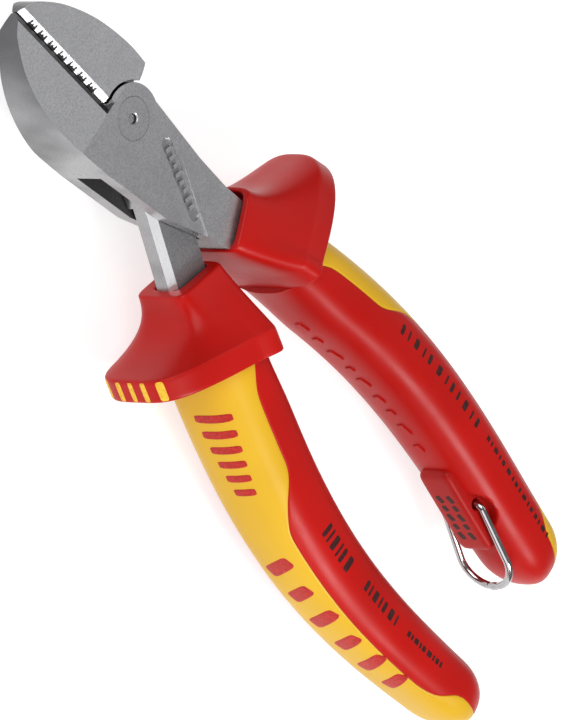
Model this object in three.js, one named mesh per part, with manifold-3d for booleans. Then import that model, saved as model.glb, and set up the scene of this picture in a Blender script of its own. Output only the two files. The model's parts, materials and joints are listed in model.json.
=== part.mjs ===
// Compact high-leverage diagonal cutting pliers with insulated two-colour grips and a tether ring.
// Millimetres. The origin is the centre of the axle's back end, on the back face of the joint.
// +Y runs to the jaw tips, +X to the right as seen from the front, and +Z out of the front face.
// The jaws are closed. Inside the file, x = 0 is the cutting line and z = 0 the middle plane, and
// the whole group is moved to the origin at the end.
import * as THREE from "three";
import { ParametricGeometry } from "three/addons/geometries/ParametricGeometry.js";
import { mergeVertices } from "three/addons/utils/BufferGeometryUtils.js";
import Module from "manifold-3d";

const wasm = await Module();
wasm.setup();

// ---- Driving dimensions ----
const JAW_TIP = 28; // jaw tips above the pivot
const HANDLE_END = 132; // handle ends below the pivot, so the tool is 160 long
const HEAD_DEPTH = 5.5; // half thickness of the joint
const TIP_DEPTH = 1.6; // half thickness of the jaws at their tips
const TAPER_START = 5; // height where the left jaw starts to thin
const RIGHT_TAPER_START = 3.4; // and the right one

const PIVOT_X = 2.2; // the axle sits to the right of the cutting line
const AXLE_RADIUS = 3.5;
const AXLE_GAP = 0.1; // running clearance round the axle
const DIMPLE_RADIUS = 0.9;
const DIMPLE_DEPTH = 0.7;

const TOUCH_GAP = 0.3; // between pieces that touch
const WEB_DEPTH = 2.4; // half thickness of the inner half inside the slot
const SLOT_DEPTH = WEB_DEPTH + TOUCH_GAP;
const DISC_RADIUS = 5.9; // joint discs of both halves
const DISC_PLAY = 0.4;
const DISC_SEAT = DISC_RADIUS + DISC_PLAY; // round seats cut in the opposite half
const DISC_FROM = -0.35; // the front disc's round edge shows between these angles
const DISC_TO = Math.PI * 0.6;
const THROUGH = HEAD_DEPTH + 2.5; // half length of a hole that goes right through
const REACH_DOWN = 40; // cutting shapes reach this far below the pivot
const REACH_SIDE = 30; // this far to each side
const REACH_UP = 1; // and this far past the tips

const BLADE_WIDTH = 1.3; // front cutting bevel, across
const BLADE_DROP = 0.8; // and down
const BACK_WIDTH = 2.6; // back cutting bevel
const BACK_DROP = 1.8;
const POCKET = [
  [4.3, -8.6],
  [0.2, -21.2],
]; // middles of the round ends of the pocket under the joint
const POCKET_HALF = 1.15;
const POCKET_DEPTH = 0.5;
const STEP_EDGE = [
  [5.7, -10.8],
  [-0.3, -25.5],
]; // the front face steps down on the left of this line
const STEP_SLOPE = THREE.MathUtils.degToRad(1.15); // ever deeper towards its lower end
const TANG_EDGE = [
  [-4.6, -16],
  [-11.4, -30.6],
]; // outer edge of the thin tang, down to the collar
const TANG_CHAMFER = 1.1;
const GROOVE_TOP = 3; // the bevels' cutting shapes stand this far proud of the faces
const SLIVER = 0.01;

const LINER_WALL = 1.2; // liner over the steel shank
const BAND_HEIGHT = 4; // straight band under each collar's rim
const TANG_WALL = 3; // collar top in front of the thin tang
const PLATE_WALL = 1.6; // collar top in front of the full-depth plate
const AROUND = 20; // facets round a grip

const LINER_TOP = -37.5; // the liners start below the collars' tops
const SHANK_END = HANDLE_END - 38; // the steel shanks stop this far below the pivot
const SHANK_TOP_HALF = 3.9; // half width of a shank where it leaves the head
const SHANK_END_HALF = 2.4;
const SHANK_END_DEPTH = 2.2; // half depth at its end
const SHANK_CORNER = 5; // superellipse power of the shanks: nearly square
const WIRE_RADIUS = 0.65; // tether ring
const RING_LENGTH = 16.7; // from the wire in the hole to the far end, centre to centre
const RING_HALF = 5.2; // half width at its round end
const RING_TOP_HALF = 4.4; // and at the hole
const RING_CORNER = 1.2;
const RING_Y = -HANDLE_END + 24.9; // height of the ring's hole
const RING_INSET = 5.393; // the hole is this far inwards of the right grip's spine
const RING_TILT = THREE.MathUtils.degToRad(17.3); // it hangs inwards, off the handle
const RING_PLAY = 0.3; // between the ring's legs and the boss
const BOSS_HALF = RING_TOP_HALF - WIRE_RADIUS - RING_PLAY; // half width of the tether boss
const BOSS_LENGTH = 18.4;
const BOSS_FACE = 2.5; // the boss face stands this far inwards of the hole
const BOSS_ROOT = 3.2; // and its root this far outwards
const BOSS_SLOPE = THREE.MathUtils.degToRad(-7);
const HOLE_GAP = 0.3;
const SCOOP_RADII = [2.3, 4.4, 8]; // hollow round the hole: across, along and deep
const SCOOP_IN = 0.5; // its centre is this far inwards of the hole
const SCOOP_DOWN = 1.2; // and this far below it
const RING_STEPS = 36; // facets along the ring
const RING_SIDES = 8; // and round its wire

const STEEL = new THREE.MeshStandardMaterial({ color: 0x9a9a9e, roughness: 0.38, metalness: 0.9 });
const RED = new THREE.MeshStandardMaterial({ color: 0xb21e16, roughness: 0.45 });
const YELLOW = new THREE.MeshStandardMaterial({ color: 0xd7ac2d, roughness: 0.45 });
const CHROME = new THREE.MeshStandardMaterial({ color: 0xd8d8da, roughness: 0.12, metalness: 1 });

// ---- Solids ----
const { lerp, degToRad } = THREE.MathUtils;

// A closed three.js geometry as a manifold solid, with the flat triangles at its poles left out.
function solid(geometry) {
  const bare = geometry.index ? geometry.toNonIndexed() : geometry.clone();
  for (const name of Object.keys(bare.attributes)) {
    if (name !== "position") bare.deleteAttribute(name);
  }
  const merged = mergeVertices(bare, 1e-4);
  const corners = merged.index.array;
  const kept = [];
  for (let i = 0; i < corners.length; i += 3) {
    const [a, b, c] = corners.slice(i, i + 3);
    if (a !== b && b !== c && c !== a) kept.push(a, b, c);
  }
  const build = (list) =>
    new wasm.Manifold(
      new wasm.Mesh({
        numProp: 3,
        vertProperties: merged.attributes.position.array,
        triVerts: new Uint32Array(list),
      }),
    );
  const made = build(kept);
  return made.volume() > 0 ? made : build(kept.reverse());
}

// A named mesh from a solid.
function mesh(name, body, material) {
  const { vertProperties, triVerts } = body.getMesh();
  const geometry = new THREE.BufferGeometry();
  geometry.setAttribute("position", new THREE.BufferAttribute(vertProperties, 3));
  geometry.setIndex(new THREE.BufferAttribute(triVerts, 1));
  geometry.computeVertexNormals();
  const made = new THREE.Mesh(geometry, material.clone());
  made.name = name;
  return made;
}

// A skin through rings of points, closed at both ends by flat fans.
function loft(rings) {
  const centre = (ring) =>
    ring.reduce((sum, p) => sum.add(p), new THREE.Vector3()).divideScalar(ring.length);
  const first = centre(rings[0]);
  const last = centre(rings.at(-1));
  const rows = [rings[0].map(() => first), ...rings, rings[0].map(() => last)];
  const count = rings[0].length;
  const surface = (u, v, target) => {
    const row = rows[Math.round(v * (rows.length - 1))];
    target.copy(row[Math.round(u * count) % count]);
  };
  return solid(new ParametricGeometry(surface, count, rows.length - 1));
}

// A flat outline in XY, made a slab from z = low to z = high.
function slab(outline, low, high, curveSegments = 12) {
  const options = { depth: high - low, bevelEnabled: false, curveSegments };
  return solid(new THREE.ExtrudeGeometry(outline, options).translate(0, 0, low));
}

function polygon(points) {
  return new THREE.Shape(points.map(([x, y]) => new THREE.Vector2(x, y)));
}

// A round bar along Z.
function bar(radius, low, high, x, y, segments = 48) {
  const shape = new THREE.CylinderGeometry(radius, radius, high - low, segments);
  return solid(shape.rotateX(Math.PI / 2).translate(x, y, (low + high) / 2));
}

// ---- Grips ----
// side is -1 for the left grip and 1 for the right one. Widths are measured from the spine,
// outwards (away from the other grip) and inwards; tilts are in degrees. A high flare keeps the
// collar's neck narrow until close to its rim.
const LEFT = {
  side: -1,
  spine: [5.4, 13.6, 19.4, 19.1, 14.9],
  top: { y: -29.8, tilt: 18, outer: 6.5, inner: 5.1, depth: WEB_DEPTH + TANG_WALL },
  rim: { y: -40.7, tilt: 27, outer: 19.5, inner: 6 },
  flare: 3.4,
  half: [7.7, 5.3],
  end: HANDLE_END,
  shankDepth: WEB_DEPTH,
};
const RIGHT = {
  side: 1,
  spine: [5.4, 13.0, 16.8, 15.8, 13.9],
  top: { y: -29.2, tilt: 24, outer: 5.9, inner: 5.3, depth: HEAD_DEPTH + PLATE_WALL },
  rim: { y: -40.9, tilt: 13, outer: 18.2, inner: 5 },
  flare: 2.1,
  half: [7.1, 5.7],
  end: HANDLE_END - 1.2,
  shankDepth: HEAD_DEPTH - 1.3,
};
const SPINE_TOP = -28; // the five spine widths are evenly spaced from here to the handle end
const RIM_DEPTH_OUTER = 9; // half depth of a collar's rim at its outer edge
const RIM_DEPTH_INNER = 13.3; // and at its inner edge
const TOP_CORNER = 7; // superellipse power at a collar's top: nearly square
const RIM_CORNER = 4.2; // at its rim: rounder
const GRIP_CORNER = 2.6; // and down the handle
const GRIP_DEPTH = 1.12; // a handle's half depth over its half width
const BLEND_LENGTH = 14; // the handle turns square to its spine over this length
const END_ROUND = 9; // length of the round handle end
const END_SHARES = [0.65, 0.35, 0.13, 0.02]; // its rings, as shares of that length
const COLLAR_SHARES = [0, 0.3, 0.5, 0.65, 0.78, 0.9, 1]; // rings down a collar
const HANDLE_STEPS = 9;
const SHANK_STEPS = 8;
const BELLY = 0.9; // the handle stands this far past the rim's inner edge

// Distance of the spine from the middle: one smooth curve of the fourth degree through five widths.
function spineX(grip, y) {
  const step = (SPINE_TOP + HANDLE_END) / 4;
  const at = (SPINE_TOP - y) / step;
  return grip.spine.reduce((sum, width, i) => {
    const weight = grip.spine.reduce((w, _, j) => (j === i ? w : (w * (at - j)) / (i - j)), 1);
    return sum + width * weight;
  }, 0);
}

// Tilt of a section that stands square to the spine.
function spineTilt(grip, y) {
  return THREE.MathUtils.radToDeg(Math.atan(spineX(grip, y - 0.5) - spineX(grip, y + 0.5)));
}

// The handle below its collar: half widths and half depth by height.
function handleSection(grip, y) {
  const start = grip.rim.y - BAND_HEIGHT;
  const share = (start - y) / (start + grip.end);
  const blend = THREE.MathUtils.smoothstep(start - y, 0, BLEND_LENGTH);
  const left = Math.max(0, (y + grip.end) / END_ROUND);
  const round = left < 1 ? Math.sqrt(Math.max(0, 1 - (1 - left) ** 2)) : 1;
  const half = round * lerp(...grip.half, Math.max(0, share) ** 1.5);
  return {
    y,
    tilt: lerp(grip.rim.tilt, spineTilt(grip, y), blend),
    outer: half,
    inner: lerp(Math.min(half, grip.rim.inner + BELLY), half, blend),
    depthOuter: half * GRIP_DEPTH,
    depthInner: half * GRIP_DEPTH,
    corner: GRIP_CORNER,
  };
}

// A collar from its top (share 0) to its rim (share 1): it flares outwards in a hollow curve.
function collarSection(grip, share) {
  const { top, rim } = grip;
  return {
    y: lerp(top.y, rim.y, share),
    tilt: lerp(top.tilt, rim.tilt, share),
    outer: lerp(top.outer, rim.outer, share ** grip.flare),
    inner: lerp(top.inner, rim.inner, share),
    depthOuter: lerp(top.depth, RIM_DEPTH_OUTER, share ** 1.3),
    depthInner: lerp(top.depth, RIM_DEPTH_INNER, share ** 1.3),
    corner: lerp(TOP_CORNER, RIM_CORNER, share ** 0.7),
  };
}

// One ring of points: a superellipse whose depth changes evenly from its inner to its outer edge.
function ringOf(grip, section) {
  const tilt = degToRad(section.tilt);
  const power = 2 / section.corner;
  const points = [];
  for (let i = 0; i < AROUND; i++) {
    const angle = (i / AROUND) * 2 * Math.PI;
    const c = Math.sign(Math.cos(angle)) * Math.abs(Math.cos(angle)) ** power;
    const s = Math.sign(Math.sin(angle)) * Math.abs(Math.sin(angle)) ** power;
    const width = c > 0 ? section.outer : section.inner;
    const depth = lerp(section.depthInner, section.depthOuter, (c + 1) / 2);
    const across = c * width;
    const x = spineX(grip, section.y) + across * Math.cos(tilt);
    points.push(new THREE.Vector3(grip.side * x, section.y + across * Math.sin(tilt), s * depth));
  }
  return points;
}

function evenHeights(from, to, steps) {
  return Array.from({ length: steps + 1 }, (_, i) => lerp(from, to, i / steps));
}

// The whole outside of a grip.
function gripBody(grip) {
  const rings = COLLAR_SHARES.map((share) => ringOf(grip, collarSection(grip, share)));
  const bandEnd = grip.rim.y - BAND_HEIGHT;
  rings.push(ringOf(grip, { ...collarSection(grip, 1), y: bandEnd }));
  const heights = evenHeights(bandEnd - TOUCH_GAP, -grip.end + END_ROUND, HANDLE_STEPS);
  for (const left of END_SHARES) heights.push(-grip.end + left * END_ROUND);
  for (const y of heights) rings.push(ringOf(grip, handleSection(grip, y)));
  return loft(rings);
}

// The liner's outside, or the space it needs when grown by a gap.
function linerBody(grip, grow = 0) {
  const shank = (y) => shankSection(grip, y, LINER_WALL + grow);
  const top = LINER_TOP + (grow > 0 ? TOUCH_GAP : 0);
  return loft(evenHeights(top, -SHANK_END - LINER_WALL - grow, SHANK_STEPS).map(shank));
}

// The steel shank inside a grip: a flat bar that narrows down the spine.
const SHANK_ROOM = 4; // its grown copy starts this much higher, to cut right through

function shankSection(grip, y, grow = 0) {
  const share = (SPINE_TOP - y) / (SPINE_TOP + SHANK_END);
  const width = lerp(SHANK_TOP_HALF, SHANK_END_HALF, share) + grow;
  const depth = lerp(grip.shankDepth, SHANK_END_DEPTH, share) + grow;
  return ringOf(grip, {
    y,
    tilt: spineTilt(grip, y),
    outer: width,
    inner: width,
    depthOuter: depth,
    depthInner: depth,
    corner: SHANK_CORNER,
  });
}

function shankBody(grip, grow = 0) {
  const top = SPINE_TOP + (grow > 0 ? SHANK_ROOM : 0);
  const heights = evenHeights(top, -SHANK_END - grow, SHANK_STEPS);
  return loft(heights.map((y) => shankSection(grip, y, grow)));
}

// The yellow back zone is a wedge round the spine. Its half angle, front and back, changes with
// height: wide under the collar, then a step in, then wide again near the handle end. Its lower
// rows are given by how far they rise above the grip's own end.
const ZONE_EDGE = 0.8; // the wedge's inner edge is this far outwards of the spine
const ZONE_REACH = 15; // and its round back is past the grip's surface
const ZONE_STEPS = 10;
const ZONE_EDGE_GROWTH = 1.5; // how far the edge moves for each millimetre that the wedge grows
const ZONE = [
  { y: -44, angle: 102 },
  { y: -50, angle: 84 },
  { y: -64.5, angle: 84 },
  { y: -69, angle: 64 },
  { y: -74, angle: 49 },
  { rise: 17, angle: 51 },
  { rise: 13, angle: 58 },
  { rise: 9.5, angle: 84 },
  { rise: 0.5, angle: 84 },
];

// Grown by a gap, its edge moves inwards past the spine, so both flanks move off by the gap.
function zoneBody(grip, grow = 0) {
  const edge = ZONE_EDGE - ZONE_EDGE_GROWTH * grow;
  const rings = ZONE.map(({ y, rise, angle }, i) => {
    const end = i === 0 ? grow : i === ZONE.length - 1 ? -grow : 0;
    const row = rise === undefined ? y : rise - grip.end;
    const level = (i === 0 ? grip.rim.y - BAND_HEIGHT - TOUCH_GAP : row) + end;
    const tilt = degToRad(handleSection(grip, level).tilt);
    const place = (across, z) => {
      const x = spineX(grip, level) + across * Math.cos(tilt);
      return new THREE.Vector3(grip.side * x, level + across * Math.sin(tilt), z);
    };
    const ring = [place(edge, 0)];
    for (let k = 0; k <= ZONE_STEPS; k++) {
      const turn = degToRad(lerp(-angle, angle, k / ZONE_STEPS));
      ring.push(place(edge + ZONE_REACH * Math.cos(turn), ZONE_REACH * Math.sin(turn)));
    }
    return ring;
  });
  return loft(rings);
}

// ---- Tether ----
const RING_X = spineX(RIGHT, RING_Y) - RING_INSET;

// The boss is a rounded block let into the inner side of the right grip.
function bossBody(grow = 0) {
  const width = BOSS_FACE + BOSS_ROOT + 2 * grow;
  const block = new THREE.BoxGeometry(width, BOSS_LENGTH + 2 * grow, 2 * (BOSS_HALF + grow));
  const middle = (BOSS_ROOT - BOSS_FACE) / 2;
  block.translate(middle, 0, 0).rotateZ(BOSS_SLOPE);
  return solid(block.translate(RING_X, RING_Y, 0));
}

// A smooth hollow in the grip round the boss, where the ring's legs swing.
function scoopBody() {
  const hollow = new THREE.SphereGeometry(1, 20, 12).scale(...SCOOP_RADII);
  return solid(hollow.translate(RING_X - SCOOP_IN, RING_Y - SCOOP_DOWN, 0));
}

// Centre line of the ring, lying in the plane of Z and the hanging direction.
function ringPath() {
  const path = new THREE.Shape();
  const pin = RING_TOP_HALF - RING_CORNER;
  const legEnd = RING_LENGTH - RING_HALF;
  const right = Math.PI / 2;
  path.moveTo(-pin, 0);
  path.lineTo(pin, 0);
  path.absarc(pin, RING_CORNER, RING_CORNER, -right, 0);
  path.lineTo(RING_HALF, legEnd);
  path.absarc(0, legEnd, RING_HALF, 0, 2 * right);
  path.lineTo(-RING_TOP_HALF, RING_CORNER);
  path.absarc(-pin, RING_CORNER, RING_CORNER, 2 * right, 3 * right);
  return path;
}

function tetherRing() {
  const path = ringPath();
  const surface = (u, v, target) => {
    const share = v === 1 ? 0 : v;
    const at = path.getPointAt(share);
    const along = path.getTangentAt(share);
    const turn = u === 1 ? 0 : u * 2 * Math.PI;
    const out = WIRE_RADIUS * Math.cos(turn);
    target.set(WIRE_RADIUS * Math.sin(turn), -(at.y - out * along.x), at.x + out * along.y);
  };
  const wire = new ParametricGeometry(surface, RING_SIDES, RING_STEPS);
  return solid(wire.rotateZ(-RING_TILT).translate(RING_X, RING_Y, 0));
}

// ---- Steel halves ----
// Everything between the front and back faces of the head, which thins above the given height.
function headEnvelope(start) {
  const side = [
    [-REACH_DOWN, -HEAD_DEPTH],
    [start, -HEAD_DEPTH],
    [JAW_TIP + REACH_UP, -TIP_DEPTH],
    [JAW_TIP + REACH_UP, TIP_DEPTH],
    [start, HEAD_DEPTH],
    [-REACH_DOWN, HEAD_DEPTH],
  ];
  const options = { depth: 2 * REACH_SIDE, bevelEnabled: false };
  const plate = new THREE.ExtrudeGeometry(polygon(side), options).translate(0, 0, -REACH_SIDE);
  // The outline's first axis becomes Y, its second Z, and the depth runs along X.
  const turn = new THREE.Matrix4().makeBasis(
    new THREE.Vector3(0, 1, 0),
    new THREE.Vector3(0, 0, 1),
    new THREE.Vector3(1, 0, 0),
  );
  return solid(plate.applyMatrix4(turn));
}

// The V grooves along the cutting line that leave the two blade bevels, front and back.
function bladeGrooves(start) {
  const groove = (width, drop, front) => {
    const corner = (y, depth) => [
      new THREE.Vector3(-width, y, front * (depth + SLIVER)),
      new THREE.Vector3(-width, y, front * (depth + GROOVE_TOP)),
      new THREE.Vector3(width, y, front * (depth + GROOVE_TOP)),
      new THREE.Vector3(width, y, front * (depth + SLIVER)),
      new THREE.Vector3(0, y, front * (depth - drop)),
    ];
    return loft([corner(start, HEAD_DEPTH), corner(JAW_TIP + REACH_UP, TIP_DEPTH)]);
  };
  return groove(BLADE_WIDTH, BLADE_DROP, 1).add(groove(BACK_WIDTH, BACK_DROP, -1));
}

// The shallow round-ended pocket in the front face, below the joint.
function pocket() {
  const [from, to] = POCKET.map((end) => new THREE.Vector2(...end));
  const along = to.clone().sub(from).angle();
  const right = Math.PI / 2;
  const outline = new THREE.Shape();
  outline.absarc(from.x, from.y, POCKET_HALF, along + right, along + 3 * right);
  outline.absarc(to.x, to.y, POCKET_HALF, along - right, along + right);
  return slab(outline, HEAD_DEPTH - POCKET_DEPTH, THROUGH);
}

// Lowers the front face on the left of the step line.
function stepCut() {
  const [from, to] = STEP_EDGE.map((end) => new THREE.Vector2(...end));
  const block = new THREE.BoxGeometry(REACH_DOWN, REACH_SIDE, GROOVE_TOP);
  block.translate(REACH_DOWN / 2, -REACH_SIDE / 2, GROOVE_TOP / 2).rotateY(STEP_SLOPE);
  return solid(block.rotateZ(to.sub(from).angle()).translate(from.x, from.y, HEAD_DEPTH));
}

// Cuts the chamfer along the tang's outer edge, on its front (1) or back (-1) face.
function edgeCut(front) {
  const [from, to] = TANG_EDGE.map((end) => new THREE.Vector2(...end));
  const step = to.clone().sub(from).normalize();
  const corner = (at) => {
    const place = (across, depth) =>
      new THREE.Vector3(at.x - step.y * across, at.y + step.x * across, front * depth);
    return [
      place(TANG_CHAMFER, WEB_DEPTH),
      place(-TANG_CHAMFER, WEB_DEPTH),
      place(-TANG_CHAMFER, WEB_DEPTH - 2 * TANG_CHAMFER),
    ];
  };
  const past = step.clone().multiplyScalar(TANG_CHAMFER);
  return loft([corner(from.clone().sub(past)), corner(to.clone().add(past))]);
}

// Outer half: left jaw, front and back cheeks, and the wide shank plate of the right handle.
function outerHalf() {
  const outline = new THREE.Shape();
  const blade = -TOUCH_GAP / 2;
  outline.moveTo(blade, DISC_SEAT);
  outline.lineTo(blade, JAW_TIP);
  outline.splineThru([
    new THREE.Vector2(-1.9, JAW_TIP - 0.9),
    new THREE.Vector2(-4, JAW_TIP - 2.5),
    new THREE.Vector2(-7.5, JAW_TIP - 7.4),
    new THREE.Vector2(-9.5, JAW_TIP - 13.4),
    new THREE.Vector2(-9.9, 7),
    new THREE.Vector2(-8.4, -2),
  ]);
  outline.lineTo(-4.7, -16.6);
  outline.lineTo(-0.7, -25.4);
  outline.lineTo(1.2, -31);
  outline.lineTo(5, -33);
  outline.lineTo(9.7, -31.5);
  outline.lineTo(8.3, -23.4);
  outline.lineTo(7.75, -16);
  outline.lineTo(PIVOT_X + DISC_RADIUS * Math.cos(DISC_FROM), DISC_RADIUS * Math.sin(DISC_FROM));
  outline.absarc(PIVOT_X, 0, DISC_RADIUS, DISC_FROM, DISC_TO, false);
  const slot = polygon([
    [-3.6, -2.2],
    [-14, -4],
    [-14, -REACH_DOWN],
    [-5.5, -REACH_DOWN],
    [2.6, -20.4],
    [5.4, -12],
    [6.9, -5],
    [6.9, 0],
  ]);
  return slab(outline, -HEAD_DEPTH, HEAD_DEPTH)
    .intersect(headEnvelope(TAPER_START))
    .subtract(bladeGrooves(TAPER_START))
    .subtract(pocket())
    .subtract(stepCut())
    .subtract(slab(slot, -SLOT_DEPTH, SLOT_DEPTH))
    .subtract(bar(DISC_SEAT, -SLOT_DEPTH, SLOT_DEPTH, PIVOT_X, 0))
    .add(shankBody(RIGHT))
    .subtract(bar(AXLE_RADIUS + AXLE_GAP, -THROUGH, THROUGH, PIVOT_X, 0));
}

// Inner half: right jaw, the web through the slot, and the left handle's tang.
function innerHalf() {
  const jaw = new THREE.Shape();
  const blade = TOUCH_GAP / 2;
  jaw.moveTo(blade, RIGHT_TAPER_START);
  jaw.lineTo(blade, JAW_TIP);
  jaw.splineThru([
    new THREE.Vector2(2.1, JAW_TIP - 0.5),
    new THREE.Vector2(4.2, JAW_TIP - 2),
    new THREE.Vector2(7.4, JAW_TIP - 6.4),
    new THREE.Vector2(9.9, JAW_TIP - 12.6),
    new THREE.Vector2(11, 8.6),
    new THREE.Vector2(10.8, 3.9),
  ]);
  jaw.lineTo(9.3, 3.4);
  jaw.lineTo(PIVOT_X, 2);
  const web = polygon([
    [PIVOT_X, 5.5],
    [9, 6],
    [10, 4],
    [7.4, -1.5],
    [6.6, -4],
    [5, -12],
    [2.2, -20.3],
    [-3.5, -33.6],
    TANG_EDGE[1],
    TANG_EDGE[0],
    [-2.2, -9],
    [-1.7, -6],
    [0, 0],
  ]);
  return slab(jaw, -HEAD_DEPTH, HEAD_DEPTH)
    .intersect(headEnvelope(RIGHT_TAPER_START))
    .subtract(bladeGrooves(RIGHT_TAPER_START))
    .subtract(bar(DISC_SEAT, -THROUGH, THROUGH, PIVOT_X, 0))
    .add(slab(web, -WEB_DEPTH, WEB_DEPTH).subtract(edgeCut(1)).subtract(edgeCut(-1)))
    .add(bar(DISC_RADIUS, -WEB_DEPTH, WEB_DEPTH, PIVOT_X, 0))
    .add(shankBody(LEFT))
    .subtract(bar(AXLE_RADIUS + AXLE_GAP, -THROUGH, THROUGH, PIVOT_X, 0));
}

function pivotAxle() {
  const dimple = bar(DIMPLE_RADIUS, HEAD_DEPTH - DIMPLE_DEPTH, THROUGH, PIVOT_X, 0, 24);
  return bar(AXLE_RADIUS, -HEAD_DEPTH, HEAD_DEPTH, PIVOT_X, 0).subtract(dimple);
}

// ---- Assembly ----
const outer = outerHalf();
const inner = innerHalf();

// The liner, cover and back zone of one grip, each clear of the next by the touch gap.
function gripPieces(name, grip, steel) {
  const outside = gripBody(grip);
  const seat = shankBody(grip, TOUCH_GAP);
  const liner = linerBody(grip).subtract(seat);
  const bed = linerBody(grip, TOUCH_GAP);
  const zone = outside.intersect(zoneBody(grip)).subtract(bed);
  let cover = outside.subtract(bed).subtract(zoneBody(grip, TOUCH_GAP));
  if (grip === RIGHT) cover = cover.subtract(scoopBody()).subtract(bossBody(TOUCH_GAP));
  cover = cover.subtract(steelRoom(steel));
  return [
    mesh(name + "_grip_liner", liner, YELLOW),
    mesh(name + "_grip_cover", cover, RED),
    mesh(name + "_grip_back_zone", zone, YELLOW),
  ];
}

// Room for the steel that enters a collar: the steel, and copies of it moved by the touch gap.
function steelRoom(steel) {
  const steps = [-TOUCH_GAP, 0, TOUCH_GAP];
  const sideways = steps.flatMap((x) => steps.map((z) => [x, 0, z]));
  const moves = [...sideways, ...steps.map((y) => [0, y, 0])];
  return moves.reduce((room, move) => room.add(steel.translate(move)), steel);
}

const hole = bar(WIRE_RADIUS + HOLE_GAP, -THROUGH, THROUGH, RING_X, RING_Y, 24);
const group = new THREE.Group();
group.add(mesh("outer_jaw_half", outer, STEEL));
group.add(mesh("inner_jaw_half", inner, STEEL));
group.add(mesh("pivot_axle", pivotAxle(), STEEL));
group.add(...gripPieces("left", LEFT, inner));
group.add(...gripPieces("right", RIGHT, outer));
group.add(mesh("tether_boss", bossBody().subtract(hole), RED));
group.add(mesh("tether_ring", tetherRing(), CHROME));
group.position.set(-PIVOT_X, 0, HEAD_DEPTH);

export default group;
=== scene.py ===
"""The looks of the diagonal cutting pliers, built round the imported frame.

Shapes are worked out in millimetres in the tool's own frame: x = 0 is the cutting line, y = 0 the
pivot's height with the jaws above it, and z = 0 the middle plane. to_frame() puts them in place.
"""

import json
import math

import bmesh
import bpy
import numpy as np
from mathutils import Matrix, Vector


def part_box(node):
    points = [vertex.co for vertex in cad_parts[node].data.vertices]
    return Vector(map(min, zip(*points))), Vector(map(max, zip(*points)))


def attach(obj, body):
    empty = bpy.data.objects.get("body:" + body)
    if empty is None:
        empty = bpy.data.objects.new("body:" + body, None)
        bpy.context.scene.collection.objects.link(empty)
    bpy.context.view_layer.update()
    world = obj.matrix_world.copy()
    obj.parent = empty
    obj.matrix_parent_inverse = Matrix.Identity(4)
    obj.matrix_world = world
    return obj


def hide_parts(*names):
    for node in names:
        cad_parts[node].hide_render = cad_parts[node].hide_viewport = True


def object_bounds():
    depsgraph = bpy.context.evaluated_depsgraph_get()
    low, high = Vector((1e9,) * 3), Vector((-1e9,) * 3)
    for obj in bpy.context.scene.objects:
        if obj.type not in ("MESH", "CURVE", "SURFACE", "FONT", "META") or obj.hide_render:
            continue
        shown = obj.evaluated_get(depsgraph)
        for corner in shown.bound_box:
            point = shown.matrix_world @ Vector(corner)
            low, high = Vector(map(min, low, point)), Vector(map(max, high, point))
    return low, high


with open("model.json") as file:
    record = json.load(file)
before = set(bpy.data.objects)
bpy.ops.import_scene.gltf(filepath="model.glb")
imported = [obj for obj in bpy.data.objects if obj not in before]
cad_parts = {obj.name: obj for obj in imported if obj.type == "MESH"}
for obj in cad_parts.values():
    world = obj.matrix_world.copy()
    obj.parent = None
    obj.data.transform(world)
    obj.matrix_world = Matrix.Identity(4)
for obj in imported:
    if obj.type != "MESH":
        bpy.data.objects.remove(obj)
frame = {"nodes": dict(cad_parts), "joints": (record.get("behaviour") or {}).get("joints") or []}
CAD_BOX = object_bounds()

MM = 0.001
PIVOT_X = 2.2  # the axle's distance from the cutting line
AXLE_LOW, AXLE_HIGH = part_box("pivot_axle")
HEAD_DEPTH = (AXLE_HIGH.z - AXLE_LOW.z) / 2 / MM  # half thickness of the joint
AXLE_RADIUS = (AXLE_HIGH.x - AXLE_LOW.x) / 2 / MM
HANDLE_END = -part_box("left_grip_cover")[0].y / MM
CENTRE_MARK = 0.85  # radius of the mark in the axle's front face
WEB_DEPTH = 2.4  # half thickness of the inner half's web
TIP_DEPTH = 1.6  # half thickness of the jaws at their tips
STEEL_POCKET_FROM = np.array([4.3, -8.6])  # middles of the ends of the pocket in the outer half's front
STEEL_POCKET_TO = np.array([0.2, -21.2])
STEEL_POCKET_DEPTH = 0.5


# ---- Meshes ----
def to_frame(points):
    """Tool millimetres to the frame's metres: moved by the pivot's offset and half the joint's depth."""
    return (np.asarray(points, float) + [-PIVOT_X, 0, HEAD_DEPTH]) * MM


def grid_faces(rows, columns, ring=True):
    """Four-cornered faces of a grid of points, row by row. A ring's last column joins its first."""
    r, c = np.meshgrid(np.arange(rows - 1), np.arange(columns if ring else columns - 1), indexing="ij")
    after = (c + 1) % columns
    corners = [r * columns + c, r * columns + after, (r + 1) * columns + after, (r + 1) * columns + c]
    return np.stack(corners, -1).reshape(-1, 4)


def solid_piece(name, points, faces, body, materials, nodes=(), smooth_angle=40):
    """A closed piece from points and faces: doubles at poles are merged and its normals turned outwards."""
    mesh = bpy.data.meshes.new(name)
    mesh.from_pydata(to_frame(points), [], faces.tolist() if hasattr(faces, "tolist") else faces)
    work = bmesh.new()
    work.from_mesh(mesh)
    bmesh.ops.remove_doubles(work, verts=work.verts, dist=1e-7)
    bmesh.ops.dissolve_degenerate(work, edges=work.edges, dist=1e-8)
    bmesh.ops.recalc_face_normals(work, faces=work.faces)
    work.to_mesh(mesh)
    work.free()
    return placed(name, mesh, body, materials, nodes, smooth_angle)


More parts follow.
